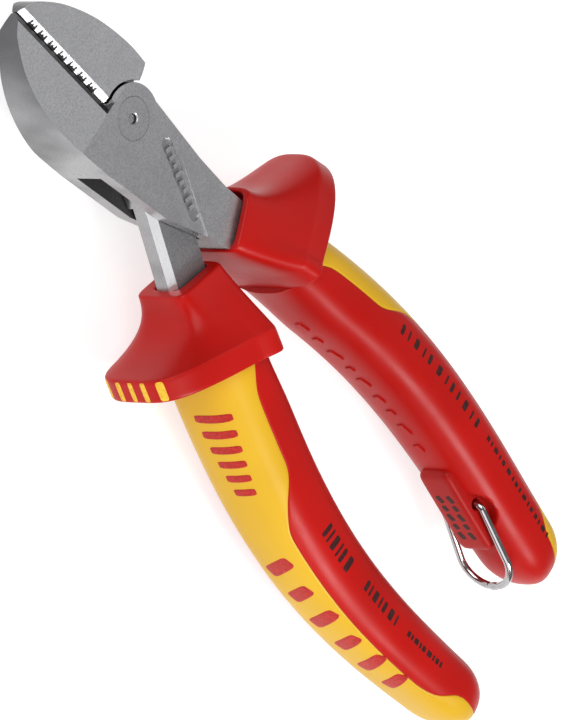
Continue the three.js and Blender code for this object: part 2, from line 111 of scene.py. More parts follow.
def placed(name, mesh, body, materials, nodes=(), smooth_angle=40):
    """An object for a finished mesh: shaded smooth up to an angle, riding on its body."""
    piece = bpy.data.objects.new(name, mesh)
    bpy.context.scene.collection.objects.link(piece)
    for material in materials:
        mesh.materials.append(material)
    mesh.shade_smooth()
    mesh.set_sharp_from_angle(angle=math.radians(smooth_angle))
    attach(piece, body)
    if nodes:
        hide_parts(*nodes)
    return piece


def smoothed(values, sigma):
    """Rows softened by a bell curve sigma rows wide, with the end rows held."""
    reach = int(math.ceil(3 * sigma))
    bell = np.exp(-0.5 * (np.arange(-reach, reach + 1) / sigma) ** 2)
    padded = np.concatenate([values[:1].repeat(reach, 0), values, values[-1:].repeat(reach, 0)])
    return np.stack([np.convolve(column, bell / bell.sum(), "valid") for column in padded.T], 1)


def smoothstep(low, high, x):
    """0 below low, 1 above high, and a smooth S between."""
    t = np.clip((x - low) / (high - low), 0, 1)
    return t * t * (3 - 2 * t)


def lerp(a, b, t):
    """The value a share t of the way from a to b."""
    return a + (b - a) * t


# ---- Materials ----
class Finish:
    """A procedural material and short ways to add its nodes. Sizes of patterns are in millimetres."""

    def __init__(self, name, colour, roughness, metallic=0.0, **sockets):
        self.material = bpy.data.materials.new(name)
        self.material.use_nodes = True
        self.nodes = self.material.node_tree.nodes
        self.links = self.material.node_tree.links
        self.shader = self.nodes["Principled BSDF"]
        self.shader.inputs["Base Color"].default_value = (*colour, 1)
        self.shader.inputs["Roughness"].default_value = roughness
        self.shader.inputs["Metallic"].default_value = metallic
        for socket, value in sockets.items():
            self.shader.inputs[socket.replace("_", " ")].default_value = value
        self.place = self.nodes.new("ShaderNodeTexCoord").outputs["Object"]
        self.height = None

    def stretched(self, scale, turn=(0, 0, 0)):
        """Object coordinates turned and then stretched along their axes."""
        mapping = self.nodes.new("ShaderNodeMapping")
        mapping.inputs["Scale"].default_value = scale
        mapping.inputs["Rotation"].default_value = turn
        self.links.new(self.place, mapping.inputs["Vector"])
        return mapping.outputs["Vector"]

    def noise(self, size, detail=3.0, roughness=0.5, place=None):
        """Noise whose blobs are about size millimetres across."""
        node = self.nodes.new("ShaderNodeTexNoise")
        node.inputs["Scale"].default_value = 1 / (size * MM)
        node.inputs["Detail"].default_value = detail
        node.inputs["Roughness"].default_value = roughness
        self.links.new(place or self.place, node.inputs["Vector"])
        return node.outputs["Fac"]

    def spread(self, value, low, high, to_low, to_high):
        """Values from low to high, stretched to run from to_low to to_high."""
        node = self.nodes.new("ShaderNodeMapRange")
        for socket, number in zip(("From Min", "From Max", "To Min", "To Max"), (low, high, to_low, to_high)):
            node.inputs[socket].default_value = number
        self.links.new(value, node.inputs["Value"])
        return node.outputs["Result"]

    def blend(self, share, first, second):
        """A colour between two colours or sockets."""
        node = self.nodes.new("ShaderNodeMix")
        node.data_type = "RGBA"
        self.links.new(share, node.inputs["Factor"])
        # Inputs 6 and 7 and output 2 are the Mix node's colour sockets.
        for socket, value in ((node.inputs[6], first), (node.inputs[7], second)):
            if isinstance(value, tuple):
                socket.default_value = (*value, 1)
            else:
                self.links.new(value, socket)
        return node.outputs[2]

    def colour_from(self, socket):
        self.links.new(socket, self.shader.inputs["Base Color"])

    def roughness_from(self, socket):
        self.links.new(socket, self.shader.inputs["Roughness"])

    def bump(self, value, strength, depth):
        """Adds relief: depth is in millimetres, and each call builds on the one before."""
        node = self.nodes.new("ShaderNodeBump")
        node.inputs["Strength"].default_value = strength
        node.inputs["Distance"].default_value = depth * MM
        self.links.new(value, node.inputs["Height"])
        if self.height is not None:
            self.links.new(self.height, node.inputs["Normal"])
        self.height = node.outputs["Normal"]
        self.links.new(self.height, self.shader.inputs["Normal"])


def plastic(name, colour, deep, roughness):
    """Moulded satin plastic: fine spark-eroded grain, slow drift in colour and gloss, few faint scuffs."""
    f = Finish(name, colour, roughness, Specular_IOR_Level=0.18)
    drift = f.spread(f.noise(22, 2), 0.35, 0.65, 0, 1)
    f.colour_from(f.blend(drift, colour, deep))
    scuffs = f.spread(f.noise(1.6, 4, 0.65, f.stretched((1, 0.25, 1))), 0.62, 0.8, 0, 0.12)
    rough = f.nodes.new("ShaderNodeMath")
    rough.operation = "ADD"
    f.links.new(f.spread(f.noise(9, 3), 0.3, 0.7, roughness - 0.05, roughness + 0.06), rough.inputs[0])
    f.links.new(scuffs, rough.inputs[1])
    f.roughness_from(rough.outputs[0])
    f.bump(f.noise(0.22, 2, 0.6), 0.25, 0.02)
    f.bump(f.noise(6, 2), 0.12, 0.12)
    return f.material


def blasted_steel(name, tone, roughness):
    """Glass-bead blasted steel: a fine even pitting, faint grinding lines under it, and cloudy tone."""
    light = tuple(tone * k for k in (1, 1, 1.03))
    dark = tuple(tone * 0.9 * k for k in (1, 1, 1.03))
    f = Finish(name, light, roughness, 0.92)
    clouds = f.blend(f.spread(f.noise(7, 4, 0.55), 0.3, 0.7, 0, 1), light, dark)
    speckle = f.spread(f.noise(0.3, 2, 0.6), 0.4, 0.68, 0, 1)
    f.colour_from(f.blend(speckle, clouds, tuple(tone * 0.72 * k for k in (1, 1, 1.03))))
    f.roughness_from(f.spread(f.noise(2.5, 4, 0.7), 0.3, 0.7, roughness - 0.06, roughness + 0.08))
    f.bump(f.noise(0.22, 3, 0.7), 0.55, 0.03)
    f.bump(f.noise(0.35, 2, 0.5, f.stretched((1, 0.08, 1))), 0.08, 0.01)
    return f.material


def ground_steel(name, tone, roughness, lines=(1, 0.05, 1), shade=0.45, painted_tip_shade=False):
    """Ground or milled steel: fine lines along the cut, over wide lighter and darker bands. When the last
    argument is set, the colour also darkens from 12 to 25 mm above the pivot: painted shade for the jaws'
    dark reflection."""
    light = tuple(tone * k for k in (1, 1, 1.02))
    dark = tuple(tone * 0.86 * k for k in (1, 1, 1.02))
    f = Finish(name, light, roughness, 1.0)
    streaks = f.noise(0.14, 3, 0.6, f.stretched(lines))
    fine = f.blend(f.spread(streaks, 0.35, 0.7, 0, 1), light, dark)
    bands = f.spread(f.noise(9, 2, 0.4, f.stretched((0.5, 1, 0.5))), 0.38, 0.62, 0, 1)
    colour = f.blend(bands, fine, tuple(tone * shade * k for k in (1, 1, 1.02)))
    # Painted shade: darker towards the jaw tips, in place of a dark reflection there.
    if painted_tip_shade:
        split = f.nodes.new("ShaderNodeSeparateXYZ")
        f.links.new(f.place, split.inputs[0])
        tip_shade = f.spread(split.outputs["Y"], 12 * MM, 25 * MM, 0, 0.85)
        colour = f.blend(tip_shade, colour, (tone * 0.2, tone * 0.2, tone * 0.21))
    f.colour_from(colour)
    f.roughness_from(f.spread(streaks, 0.3, 0.7, roughness - 0.05, roughness + 0.07))
    f.bump(streaks, 0.12, 0.01)
    f.bump(f.noise(4, 2), 0.05, 0.08)
    return f.material


def chrome(name):
    """Polished wire: bright, with faint drawing lines and finger haze."""
    f = Finish(name, (0.46, 0.46, 0.47), 0.1, 1.0)
    f.roughness_from(f.spread(f.noise(2, 3), 0.35, 0.7, 0.07, 0.2))
    f.bump(f.noise(0.4, 2), 0.08, 0.02)
    return f.material


def ink(name, colour, roughness=0.5):
    """Printed or inlaid colour, or a flat painted shade, with slightly uneven cover."""
    f = Finish(name, colour, roughness, Specular_IOR_Level=0.2)
    thin = tuple(min(1, c * 1.5 + 0.01) for c in colour)
    f.colour_from(f.blend(f.spread(f.noise(0.5, 3, 0.6), 0.4, 0.75, 0, 1), colour, thin))
    f.bump(f.noise(0.2, 2), 0.1, 0.02)
    return f.material


RED = plastic("cover_red_plastic", (0.46, 0.006, 0.004), (0.39, 0.005, 0.003), 0.36)
YELLOW = plastic("zone_yellow_plastic", (0.68, 0.40, 0.018), (0.61, 0.35, 0.014), 0.38)
LINER = plastic("liner_yellow_plastic", (0.72, 0.48, 0.06), (0.64, 0.42, 0.05), 0.5)
BOSS_RED = plastic("boss_red_plastic", (0.38, 0.007, 0.005), (0.32, 0.005, 0.004), 0.42)
BLASTED = blasted_steel("blasted_steel", 0.5, 0.42)
TANG_STEEL = blasted_steel("tang_steel", 0.34, 0.48)
# Painted shade: near-black steel for the walls inside the outer half's slot, where shade falls.
SLOT_SHADE_STEEL = blasted_steel("painted_slot_shade_steel", 0.09, 0.6)
# Its sides carry a painted shade towards the jaw tips.
GROUND = ground_steel("ground_steel", 0.38, 0.26, painted_tip_shade=True)
EDGE = ground_steel("blade_steel", 0.82, 0.3, shade=0.9)
# Painted shade: a darkened copy of the blade steel for the left jaw's bevel, in place of the dark reflection
# it shows.
PAINTED_SHADE_BLADE_STEEL = ground_steel("painted_shade_blade_steel", 0.2, 0.35)
AXLE_STEEL = blasted_steel("axle_steel", 0.48, 0.4)
# Painted shade: near-black for the axle's centre mark and the small cuts along the right blade, where shade
# falls.
PAINTED_PIT_SHADE = ink("pit_painted_shade", (0.02, 0.018, 0.016), 0.6)
CHROME = chrome("ring_chrome")
DARK_PRINT = ink("dark_print", (0.035, 0.006, 0.006))
RED_PRINT = ink("red_print", (0.36, 0.012, 0.007), 0.42)
YELLOW_INLAY = ink("yellow_inlay", (0.66, 0.38, 0.028), 0.42)

# ---- Grips ----
# side is -1 for the left grip and 1 for the right one. spine holds five distances from the middle,
# evenly spaced from SPINE_TOP to HANDLE_END. Widths are from the spine, outwards and inwards. top is
# the collar's top section: height, tilt, outer and inner width, half depth. rim is its widest section,
# without the depth. flare is the power of the share that the outer width grows with, and corner the
# superellipse power at the rim. half is the handle's half width at its top and end, end how far down
# it reaches, and pocket the outer and inner width and half depth of the pocket round the steel.
LEFT = {
    "name": "left",
    "side": -1,
    "spine": (5.4, 13.6, 19.4, 19.1, 14.9),
    "top": (-29.8, 18, 6.5, 5.1, WEB_DEPTH + 3),
    "rim": (-40.7, 27, 19.5, 6),
    "flare": 3.4,
    "corner": 4.2,
    "half": (7.7, 5.3),
    "end": HANDLE_END,
    "pocket": (4.2, 4.2, WEB_DEPTH + 0.4),
}
RIGHT = {
    "name": "right",
    "side": 1,
    "spine": (5.4, 13.0, 16.8, 15.8, 13.9),
    "top": (-29.2, 24, 5.9, 5.3, HEAD_DEPTH + 1.6),
    "rim": (-40.9, 13, 18.2, 5),
    "flare": 2.1,
    "corner": 2.9,
    "half": (7.1, 5.7),
    "end": HANDLE_END - 1.2,
    "pocket": (5.0, 4.6, HEAD_DEPTH + 0.35),
}
SPINE_TOP = -28
RIM_DEPTH_OUTER = 9  # a collar's half depth at its outer side
RIM_DEPTH_INNER = 13.3
BAND_HEIGHT = 4
TOP_CORNER = 7  # superellipse power at a collar's top: nearly square
HANDLE_CORNER = 2.6
HANDLE_DEPTH = 1.12  # a handle's half depth over its half width
BLEND_LENGTH = 14  # over which a handle's sections turn from the rim's tilt to the spine's
END_ROUND = 9
BELLY = 0.9  # how far the handle's inner side stands out past the rim's
POCKET_DEPTH = 3  # of the pocket round the steel
ROW_STEP = 0.1  # the profile is walked in steps of this length
EDGE_SOFTNESS = 4.2  # rows over which its corners are rounded
COLUMNS = 150
ZONE_COLUMNS = 70
SINK = 1.4  # the back zone is let this far into the cover
SEAM_DIP, SEAM_WIDTH = 0.12, 0.16  # the shallow dip along both sides of the zone's edge
SEAM_GAP = 0.04
# Half angle of the yellow back zone round the spine, by height: wide under the collar, then a step
# in, and wide again at the handle end.
ZONE_HEIGHTS = np.array([-44, -50, -64.5, -69, -74])
ZONE_RISES = np.array([17, 13, 9.5, 0.5])  # its lower rows, above the grip's own end
ZONE_ANGLES = np.array([102, 84, 84, 64, 49, 51, 58, 84, 84])
ZONE_SHIFT = 0.8  # the angle is measured from this far outwards of the spine


def spine_x(grip, y):
    """Distance of the spine from the middle: the quartic through its five widths."""
    step = (SPINE_TOP + HANDLE_END) / 4
    curve = np.polyfit(np.arange(5), grip["spine"], 4)
    return np.polyval(curve, (SPINE_TOP - y) / step)


def spine_tilt(grip, y):
    """Tilt, in degrees, of a section that stands square to the spine."""
    return np.degrees(np.arctan(spine_x(grip, y - 0.5) - spine_x(grip, y + 0.5)))


def handle_rows(grip, y):
    """Sections below the collar, one row for each height: (y, tilt, outer, inner, depth at the outer
    and inner side, corner power). The half width runs from half[0] to half[1] with the power 1.5 of
    the distance down, the end closes as a quarter ellipse, and the tilt eases from rim to spine."""
    y = np.asarray(y, float)
    start = grip["rim"][0] - BAND_HEIGHT
    share = np.clip((start - y) / (start + grip["end"]), 0, 1)
    ease = smoothstep(0, BLEND_LENGTH, start - y)
    left = np.clip((y + grip["end"]) / END_ROUND, 0, 1)
    half = np.sqrt(1 - (1 - left) ** 2) * lerp(*grip["half"], share**1.5)
    inner = lerp(np.minimum(half, grip["rim"][3] + BELLY), half, ease)
    tilt = lerp(grip["rim"][1], spine_tilt(grip, y), ease)
    depth = half * HANDLE_DEPTH
    return np.stack([y, tilt, half, inner, depth, depth, np.full_like(y, HANDLE_CORNER)], 1)


def collar_rows(grip, share):
    """Sections from a collar's top to its rim: the outer width flares with the share to the grip's
    power, the depths with its power 1.3, and the rest evenly."""
    top, rim = grip["top"], grip["rim"]
    return np.stack(
        [
            lerp(top[0], rim[0], share),
            lerp(top[1], rim[1], share),
            lerp(top[2], rim[2], share ** grip["flare"]),
            lerp(top[3], rim[3], share),
            lerp(top[4], RIM_DEPTH_OUTER, share**1.3),
            lerp(top[4], RIM_DEPTH_INNER, share**1.3),
            lerp(TOP_CORNER, grip["corner"], share**0.7),
        ],
        1,
    )


def grip_rows(grip):
    """All sections from the pocket round the steel, over the lip, down the collar and its band and down
    the handle: the profile is walked evenly down to 8 mm below the band, and softened there."""
    collar = collar_rows(grip, np.linspace(0, 1, 80))
    band = collar[-1:].copy()
    band[0, 0] -= BAND_HEIGHT
    lip = collar[:1].copy()
    lip[0, 2:6] = [*grip["pocket"][:2], grip["pocket"][2], grip["pocket"][2]]
    floor = lip.copy()
    floor[0, 0] -= POCKET_DEPTH
    start = grip["rim"][0] - BAND_HEIGHT
    turn = np.linspace(0, math.pi / 2, 16)[1:]
    round_end = -grip["end"] + END_ROUND * (1 - np.sin(turn))
    heights = np.concatenate([np.arange(start - 0.3, -grip["end"] + END_ROUND, -0.4), round_end])
    rows = np.concatenate([floor, lip, collar, band, handle_rows(grip, heights)])
    move = np.linalg.norm(np.diff(rows[:, [0, 2, 3, 5]], axis=0), axis=1)
    along = np.concatenate([[0], np.cumsum(move)])
    soft_end = along[np.argmax(rows[:, 0] < start - 8)]
    walk = np.arange(0, soft_end, ROW_STEP)
    even = np.stack([np.interp(walk, along, column) for column in rows.T], 1)
    top = smoothed(even, EDGE_SOFTNESS)[::2]
    return np.concatenate([floor, top[:-4], rows[along > soft_end]])


def section_point(grip, rows, angle, lift=0.0):
    """Points of sections, rows and angles matched one to one: the superellipse in polar form, whose
    depth changes evenly from the inner to the outer side, tilted and carried on the spine."""
    y, tilt, outer, inner, depth_outer, depth_inner, power = np.moveaxis(rows, -1, 0)
    reach = (np.abs(np.cos(angle)) ** power + np.abs(np.sin(angle)) ** power) ** (-1 / power)
    c, s = reach * np.cos(angle), reach * np.sin(angle)
    width = np.where(c > 0, outer, inner) + lift
    depth = lerp(depth_inner, depth_outer, (c + 1) / 2) + lift
    turn = np.radians(tilt)
    x = spine_x(grip, y) + c * width * np.cos(turn)
    return np.stack([grip["side"] * x, y + c * width * np.sin(turn), s * depth], -1)


def zone_half_angle(grip, rows):
    """The section angle, in radians, of the back zone's edge for each row: the wedge angle of the
    table, softened, solved for the superellipse by repeated substitution."""
    fine = np.arange(-grip["end"], -40, 0.25)
    heights = np.concatenate([ZONE_HEIGHTS, ZONE_RISES - grip["end"]])
    table = np.interp(fine, heights[::-1], ZONE_ANGLES[::-1])
    table = smoothed(table[:, None], 5)[:, 0]
    wedge = np.radians(np.interp(rows[:, 0], fine, table))
    outer, depth, power = rows[:, 2], rows[:, 4], rows[:, 6]
    angle = wedge.copy()
    for _ in range(30):
        reach = (np.abs(np.cos(angle)) ** power + np.abs(np.sin(angle)) ** power) ** (-1 / power)
        s = np.maximum(reach * np.sin(angle), 1e-6)
        across = depth * s / np.tan(wedge) + ZONE_SHIFT * np.minimum(1, outer / 3)
        angle = 0.5 * angle + 0.5 * np.arctan2(s * reach, reach * across / np.maximum(outer, 1e-6))
    return angle


def sunk(grip, rows, points, depth):
    """Points moved towards the spine by depth, but never past it."""
    spine = np.stack([grip["side"] * spine_x(grip, rows[..., 0]), rows[..., 0], 0 * rows[..., 0]], -1)
    arm = points - spine
    length = np.maximum(np.linalg.norm(arm, axis=-1, keepdims=True), 1e-9)
    return points - arm / length * np.minimum(depth[..., None], 0.9 * length)


def scooped(points, rows, grip):
    """The hollow round the tether boss: where a ray from the spine enters the hollow's ellipsoid before it
    reaches the skin, the skin moves in to that point, with a smooth minimum of the two lengths."""
    if grip is not RIGHT:
        return points
    spine = np.stack([spine_x(grip, rows[..., 0]), rows[..., 0], 0 * rows[..., 0]], -1)
    ray = points - spine
    length = np.linalg.norm(ray, axis=-1)
    way = ray / np.maximum(length, 1e-9)[..., None]
    offset = (spine - SCOOP_CENTRE) / SCOOP_RADII
    scaled = way / SCOOP_RADII
    a = (scaled**2).sum(-1)
    b = (scaled * offset).sum(-1)
    c = (offset**2).sum(-1) - 1
    root = b * b - a * c
    never = 1e3
    entry = np.where(root > 0, (-b - np.sqrt(np.maximum(root, 0))) / a, never)
    entry = np.where(entry > 0, entry, never)
    blend = np.clip(0.5 + 0.5 * (length - entry) / SCOOP_SOFTNESS, 0, 1)
    reach = lerp(length, entry, blend) - SCOOP_SOFTNESS * blend * (1 - blend)
    return spine + way * np.where(entry < never, reach, length)[..., None]


def crowded(count):
    """Shares from 0 to 1 that lie closer together near both ends: an even walk mixed with a cosine one."""
    t = np.linspace(0, 1, count)
    return 0.6 * t + 0.4 * (1 - np.cos(math.pi * t)) / 2


def grip_cover(grip):
    """The red moulding: a closed tube whose columns follow the back zone's edge, with the bed of that
    zone sunk below the skin, and a bell-shaped dip along both edges."""
    rows = grip_rows(grip)
    edge = zone_half_angle(grip, rows)
    below = rows[:, 0] < grip["rim"][0] - BAND_HEIGHT - 0.25
    edge = np.where(below, edge, edge[np.argmax(below)])
    in_zone = below & (rows[:, 0] > ZONE_RISES[-1] - 0.1 - grip["end"])
    share = crowded(COLUMNS)
    bed = np.linspace(-1, 1, 40)[1:-1]
    red = edge[:, None] + share * (2 * math.pi - 2 * edge[:, None])
    angle = np.concatenate([red, 2 * math.pi + bed * edge[:, None]], 1)
    table = np.repeat(rows[:, None], angle.shape[1], 1)
    points = section_point(grip, table, angle)
    points = scooped(points, table, grip)
    gap = np.minimum(share, 1 - share) * (2 * math.pi - 2 * edge[:, None]) * rows[:, 2:3]
    dip = SEAM_DIP * np.exp(-((gap / SEAM_WIDTH) ** 2)) * in_zone[:, None]
    depth = np.concatenate([dip, np.where(in_zone[:, None], SINK, 0) * np.ones((1, len(bed)))], 1)
    points = sunk(grip, table, points, depth)
    return closed_tube(points)


def closed_tube(points):
    """A grid of rings as points and faces, closed at both ends by a fan round the ring's middle."""
    rows, columns = points.shape[:2]
    faces = grid_faces(rows, columns).tolist()
    ends = np.stack([points[0].mean(0), points[-1].mean(0)])
    k = np.arange(columns)
    after = (k + 1) % columns
    low, high = rows * columns, rows * columns + 1
    faces += np.stack([after, k, np.full(columns, low)], 1).tolist()
    last = (rows - 1) * columns
    faces += np.stack([last + k, last + after, np.full(columns, high)], 1).tolist()
    return np.concatenate([points.reshape(-1, 3), ends]), faces


def back_zone(grip):
    """The yellow moulding: the skin between the zone's edges, a hair clear of the red, as thick as its
    bed is deep, with a dip along its edges."""
    rows = grip_rows(grip)
    top = grip["rim"][0] - BAND_HEIGHT - 0.3
    rows = rows[(rows[:, 0] < top) & (rows[:, 0] > ZONE_RISES[-1] - grip["end"])]
    rows = np.concatenate([rows[:1], rows, rows[-1:]])
    edge = zone_half_angle(grip, rows) - SEAM_GAP / rows[:, 2]
    share = crowded(ZONE_COLUMNS)
    angle = lerp(-edge[:, None], edge[:, None], share)
    table = np.repeat(rows[:, None], angle.shape[1], 1)
    skin = section_point(grip, table, angle)
    gap = np.minimum(share, 1 - share) * 2 * edge[:, None] * rows[:, 2:3]
    dip = SEAM_DIP * np.exp(-((gap / SEAM_WIDTH) ** 2))
    dip[0] = dip[-1] = SINK - 0.06
    face = sunk(grip, table, skin, dip)
    under = sunk(grip, table, skin, np.full_like(dip, SINK - 0.05))
    ring = np.concatenate([face, under[:, ::-1]], 1)
    return closed_tube(ring)


# ---- Tether ----
RING_JOINT = next(joint for joint in frame["joints"] if joint["name"] == "tether_ring_swing")
RING_X = RING_JOINT["pos_m"][0] / MM + PIVOT_X
RING_Y = RING_JOINT["pos_m"][1] / MM
RING_TILT = 17.3
WIRE_RADIUS = 0.65
RING_LENGTH = 16.7
RING_HALF = 5.2
RING_TOP_HALF = 4.4
RING_CORNER = 1.2
BOSS_HALF = 3.45
BOSS_LENGTH = 18.4
BOSS_FACE = 2.5  # from the ring's hole out to the boss's flat face
BOSS_ROOT = 3.2  # and back into the grip
BOSS_SLOPE = -7
SCOOP_RADII = np.array([2.3, 4.4, 8])
SCOOP_CENTRE = np.array([RING_X - 0.5, RING_Y - 1.2, 0])
SCOOP_SOFTNESS = 0.35


def turned(points, degrees):
    """Points turned about the ring's hole, in the plane of the tool."""
    c, s = math.cos(math.radians(degrees)), math.sin(math.radians(degrees))
    x, y, z = np.moveaxis(points, -1, 0)
    return np.stack([RING_X + c * x - s * y, RING_Y + s * x + c * y, z], -1)


def ring_line(count):
    """Centre line of the ring, evenly walked: a straight pin, two corners, two legs and a half circle.
    Gives points in the ring's plane (across z, down the tool) and the outward directions."""
    pin = RING_TOP_HALF - RING_CORNER
    leg_end = RING_LENGTH - RING_HALF
    turn = np.linspace(-math.pi / 2, 0, 24)
    corner = np.stack([pin + RING_CORNER * np.cos(turn), RING_CORNER + RING_CORNER * np.sin(turn)], 1)
    bow = np.linspace(0, math.pi, 90)
    far = np.stack([RING_HALF * np.cos(bow), leg_end + RING_HALF * np.sin(bow)], 1)
    mirrored = corner[::-1] * [-1, 1]
    line = np.concatenate([[[0, 0]], corner, far, mirrored, [[0, 0]]])
    along = np.concatenate([[0], np.cumsum(np.linalg.norm(np.diff(line, axis=0), axis=1))])
    walk = np.linspace(0, along[-1], count, endpoint=False)
    even = np.stack([np.interp(walk, along, column) for column in line.T], 1)
    way = np.roll(even, -1, 0) - np.roll(even, 1, 0)
    way /= np.linalg.norm(way, axis=1, keepdims=True)
    return even, np.stack([way[:, 1], -way[:, 0]], 1)


def tether_ring():
    """A round wire carried along the ring's line. The weld, in the middle of the far bow, is a bell-shaped
    bead a tenth thicker, between two necks a tenth thinner."""
    line, out = ring_line(360)
    turn = np.linspace(0, 2 * math.pi, 24, endpoint=False)
    from_weld = np.linalg.norm(line - [0, RING_LENGTH], axis=1)
    weld = 1 + 0.1 * np.exp(-((from_weld / 0.5) ** 2)) - 0.1 * np.exp(-(((from_weld - 0.9) / 0.25) ** 2))
    radius = (WIRE_RADIUS * weld)[:, None]
    side = radius * np.cos(turn)
    flat = line[:, None] + out[:, None] * side[..., None]
    lift = radius * np.sin(turn)
    points = turned(np.stack([lift, -flat[..., 1], flat[..., 0]], -1), -RING_TILT)
    points = np.concatenate([points, points[:1]])
    return points.reshape(-1, 3), grid_faces(len(points), len(turn))


def tether_boss():
    """A block with round edges: superellipse sections down its length, drawn in at both ends, with a
    round mouth pressed in round the wire on both sides."""
    v = np.linspace(-1, 1, 150)
    u = np.linspace(0, 2 * math.pi, 140, endpoint=False)
    power = 7
    draw = (1 - np.abs(v) ** 16) ** (1 / 3.0)
    reach = (np.abs(np.cos(u)) ** power + np.abs(np.sin(u)) ** power) ** (-1 / power)
    half_x = (BOSS_FACE + BOSS_ROOT) / 2
    x = half_x * draw[:, None] * reach * np.cos(u) + (BOSS_ROOT - BOSS_FACE) / 2
    z = BOSS_HALF * draw[:, None] * reach * np.sin(u)
    y = BOSS_LENGTH / 2 * v[:, None] + 0 * x
    from_hole = np.hypot(x, y)
    mouth = 1 - smoothstep(WIRE_RADIUS + 0.1, WIRE_RADIUS + 0.45, from_hole)
    z = z - np.sign(z) * mouth * np.minimum(1.2, np.abs(z) * 0.6)
    return closed_tube(turned(np.stack([x, y, z], -1), BOSS_SLOPE))


# ---- Steel ----
# Places in a forging's list of materials.
FACE, SIDE, BLADE, SLOT_WALL, LOW_CUT, POCKET_FLOOR = range(6)


def steel_place(face, levels):
    """The place for a face. Along Z it is FACE, or what levels gives for the face's distance from the
    middle plane, in mm. Elsewhere it is BLADE on steep cuts above the pivot, LOW_CUT on sloping cuts
    below it and on the shallow walls of steps and pockets in the front there, and SIDE on the rest."""
    steepness = abs(face.normal.z)
    middle = face.calc_center_median()
    if steepness > 0.97:
        depth = abs(middle.z / MM - HEAD_DEPTH)
        return next((place for level, place in levels.items() if abs(depth - level) < 0.05), FACE)
    if middle.y > 0:
        return BLADE if steepness > 0.6 else SIDE
    # Shallow walls of steps and pockets near the front join LOW_CUT, whose bright blade steel paints a
    # highlight along their edges.
    shallow = middle.z > (2 * HEAD_DEPTH - STEEL_POCKET_DEPTH - 0.1) * MM
    return LOW_CUT if steepness > 0.3 or shallow else SIDE


def steel_copy(node, name, body, materials, levels):
    """The forging as one joined mesh: the frame's triangles merged and their flat faces dissolved, its
    edges rounded. materials and levels are as in steel_place()."""
    work = bmesh.new()
    work.from_mesh(frame["nodes"][node].data)
    bmesh.ops.remove_doubles(work, verts=work.verts, dist=2e-6)
    bmesh.ops.dissolve_degenerate(work, edges=work.edges, dist=1e-6)
    bmesh.ops.dissolve_limit(
        work, angle_limit=math.radians(0.6), verts=work.verts, edges=work.edges, delimit={"NORMAL"}
    )
    for face in work.faces:
        face.material_index = steel_place(face, levels)
    mesh = bpy.data.meshes.new(name)
    work.to_mesh(mesh)
    work.free()
    piece = placed(name, mesh, body, materials, [node], 30)
    soft = piece.modifiers.new("soft_edges", "BEVEL")
    soft.width = 0.2 * MM
    soft.segments = 3
    soft.limit_method = "ANGLE"
    soft.angle_limit = math.radians(28)
    soft.harden_normals = True
    soft.miter_outer = "MITER_ARC"
    even = piece.modifiers.new("even_normals", "WEIGHTED_NORMAL")
    even.keep_sharp = True
    return piece


def axle():
    """The axle turned as one profile round its own line: upset a little at both ends, where it fills the
    bores' mouths, and with a centre mark with a countersunk lip in the front face."""
    half, edge = HEAD_DEPTH, 0.06
    head = AXLE_RADIUS + 0.22
    back = [(0, -half), (head, -half), (head, -half + edge), (AXLE_RADIUS, -half + 0.3)]
    front = [(AXLE_RADIUS, half - 0.3), (head, half - edge), (head - edge, half)]
    mark = [(CENTRE_MARK + 0.2, half), (CENTRE_MARK, half - 0.15), (CENTRE_MARK - 0.1, half - 0.6)]
    profile = np.array(back + front + mark + [(0, half - 0.8)])
    turn = np.linspace(0, 2 * math.pi, 96, endpoint=False)
    x = PIVOT_X + profile[:, :1] * np.cos(turn)
    y = profile[:, :1] * np.sin(turn)
    z = profile[:, 1:] + 0 * x
    points = np.stack([x, y, z], -1)
    return points.reshape(-1, 3), grid_faces(len(profile), len(turn))


# ---- Marks ----
def pill(length, width):
    """A mark as a squared-off disc: superellipse rings from the middle out and back in below. Gives the
    distances across and along, and the level: 1 on its top, 0 at its edge and -1 below."""
    power = 6
    turn = np.linspace(0, 2 * math.pi, 28, endpoint=False)
    reach = (np.abs(np.cos(turn)) ** power + np.abs(np.sin(turn)) ** power) ** (-1 / power)
    ring = np.array([0, 0.22, 0.42, 0.6, 0.76, 0.9, 1, 1, 0.5, 0])[:, None]
    level = np.repeat([1, 0, -1], [6, 1, 3])[:, None] + 0 * turn
    return ring * reach * np.cos(turn) * length / 2, ring * reach * np.sin(turn) * width / 2, level


def joined_marks(marks, surface, proud, sunken):
    """Small flat pads as one set of points and faces. Each mark is (u, v, length, width, turn in degrees),
    and surface(u, v, a, b, lift) gives the points at the distances a and b from its middle."""
    all_points, all_faces, count = [], [], 0
    for u, v, length, width, turn in marks:
        across, along, level = pill(length, width)
        c, s = math.cos(math.radians(turn)), math.sin(math.radians(turn))
        lift = np.where(level > 0.5, proud, np.where(level > -0.5, 0.3 * proud, -sunken))
        points = surface(u, v, c * across - s * along, s * across + c * along, lift)
        all_points.append(points.reshape(-1, 3))
        all_faces.append(grid_faces(*points.shape[:2]) + count)
        count += points.shape[0] * points.shape[1]
    return np.concatenate(all_points), np.concatenate(all_faces)


def grip_marks(grip, marks, proud, sunken=0.15):
    """Pads that follow a handle's skin: u is the height and v the section angle in degrees, and a mark's
    length runs round the grip before it is turned."""
    table = grip_rows(grip)
    table = table[np.argmax(table[:, 0]) :]

    def skin(height, angle, a, b, lift):
        rows = np.stack([np.interp(-(height + b), -table[:, 0], column) for column in table.T], -1)
        return section_point(grip, rows, math.radians(angle) + a / (1.04 * rows[0, 0, 2]), lift)

    return joined_marks(marks, skin, proud, sunken)


def flat_marks(marks, surface, proud, sunken=0.1):
    """Pads on a face, in its own directions u and v: surface(u, v, lift) gives the face's points."""
    return joined_marks(marks, lambda u, v, a, b, lift: surface(u + a, v + b, lift), proud, sunken)


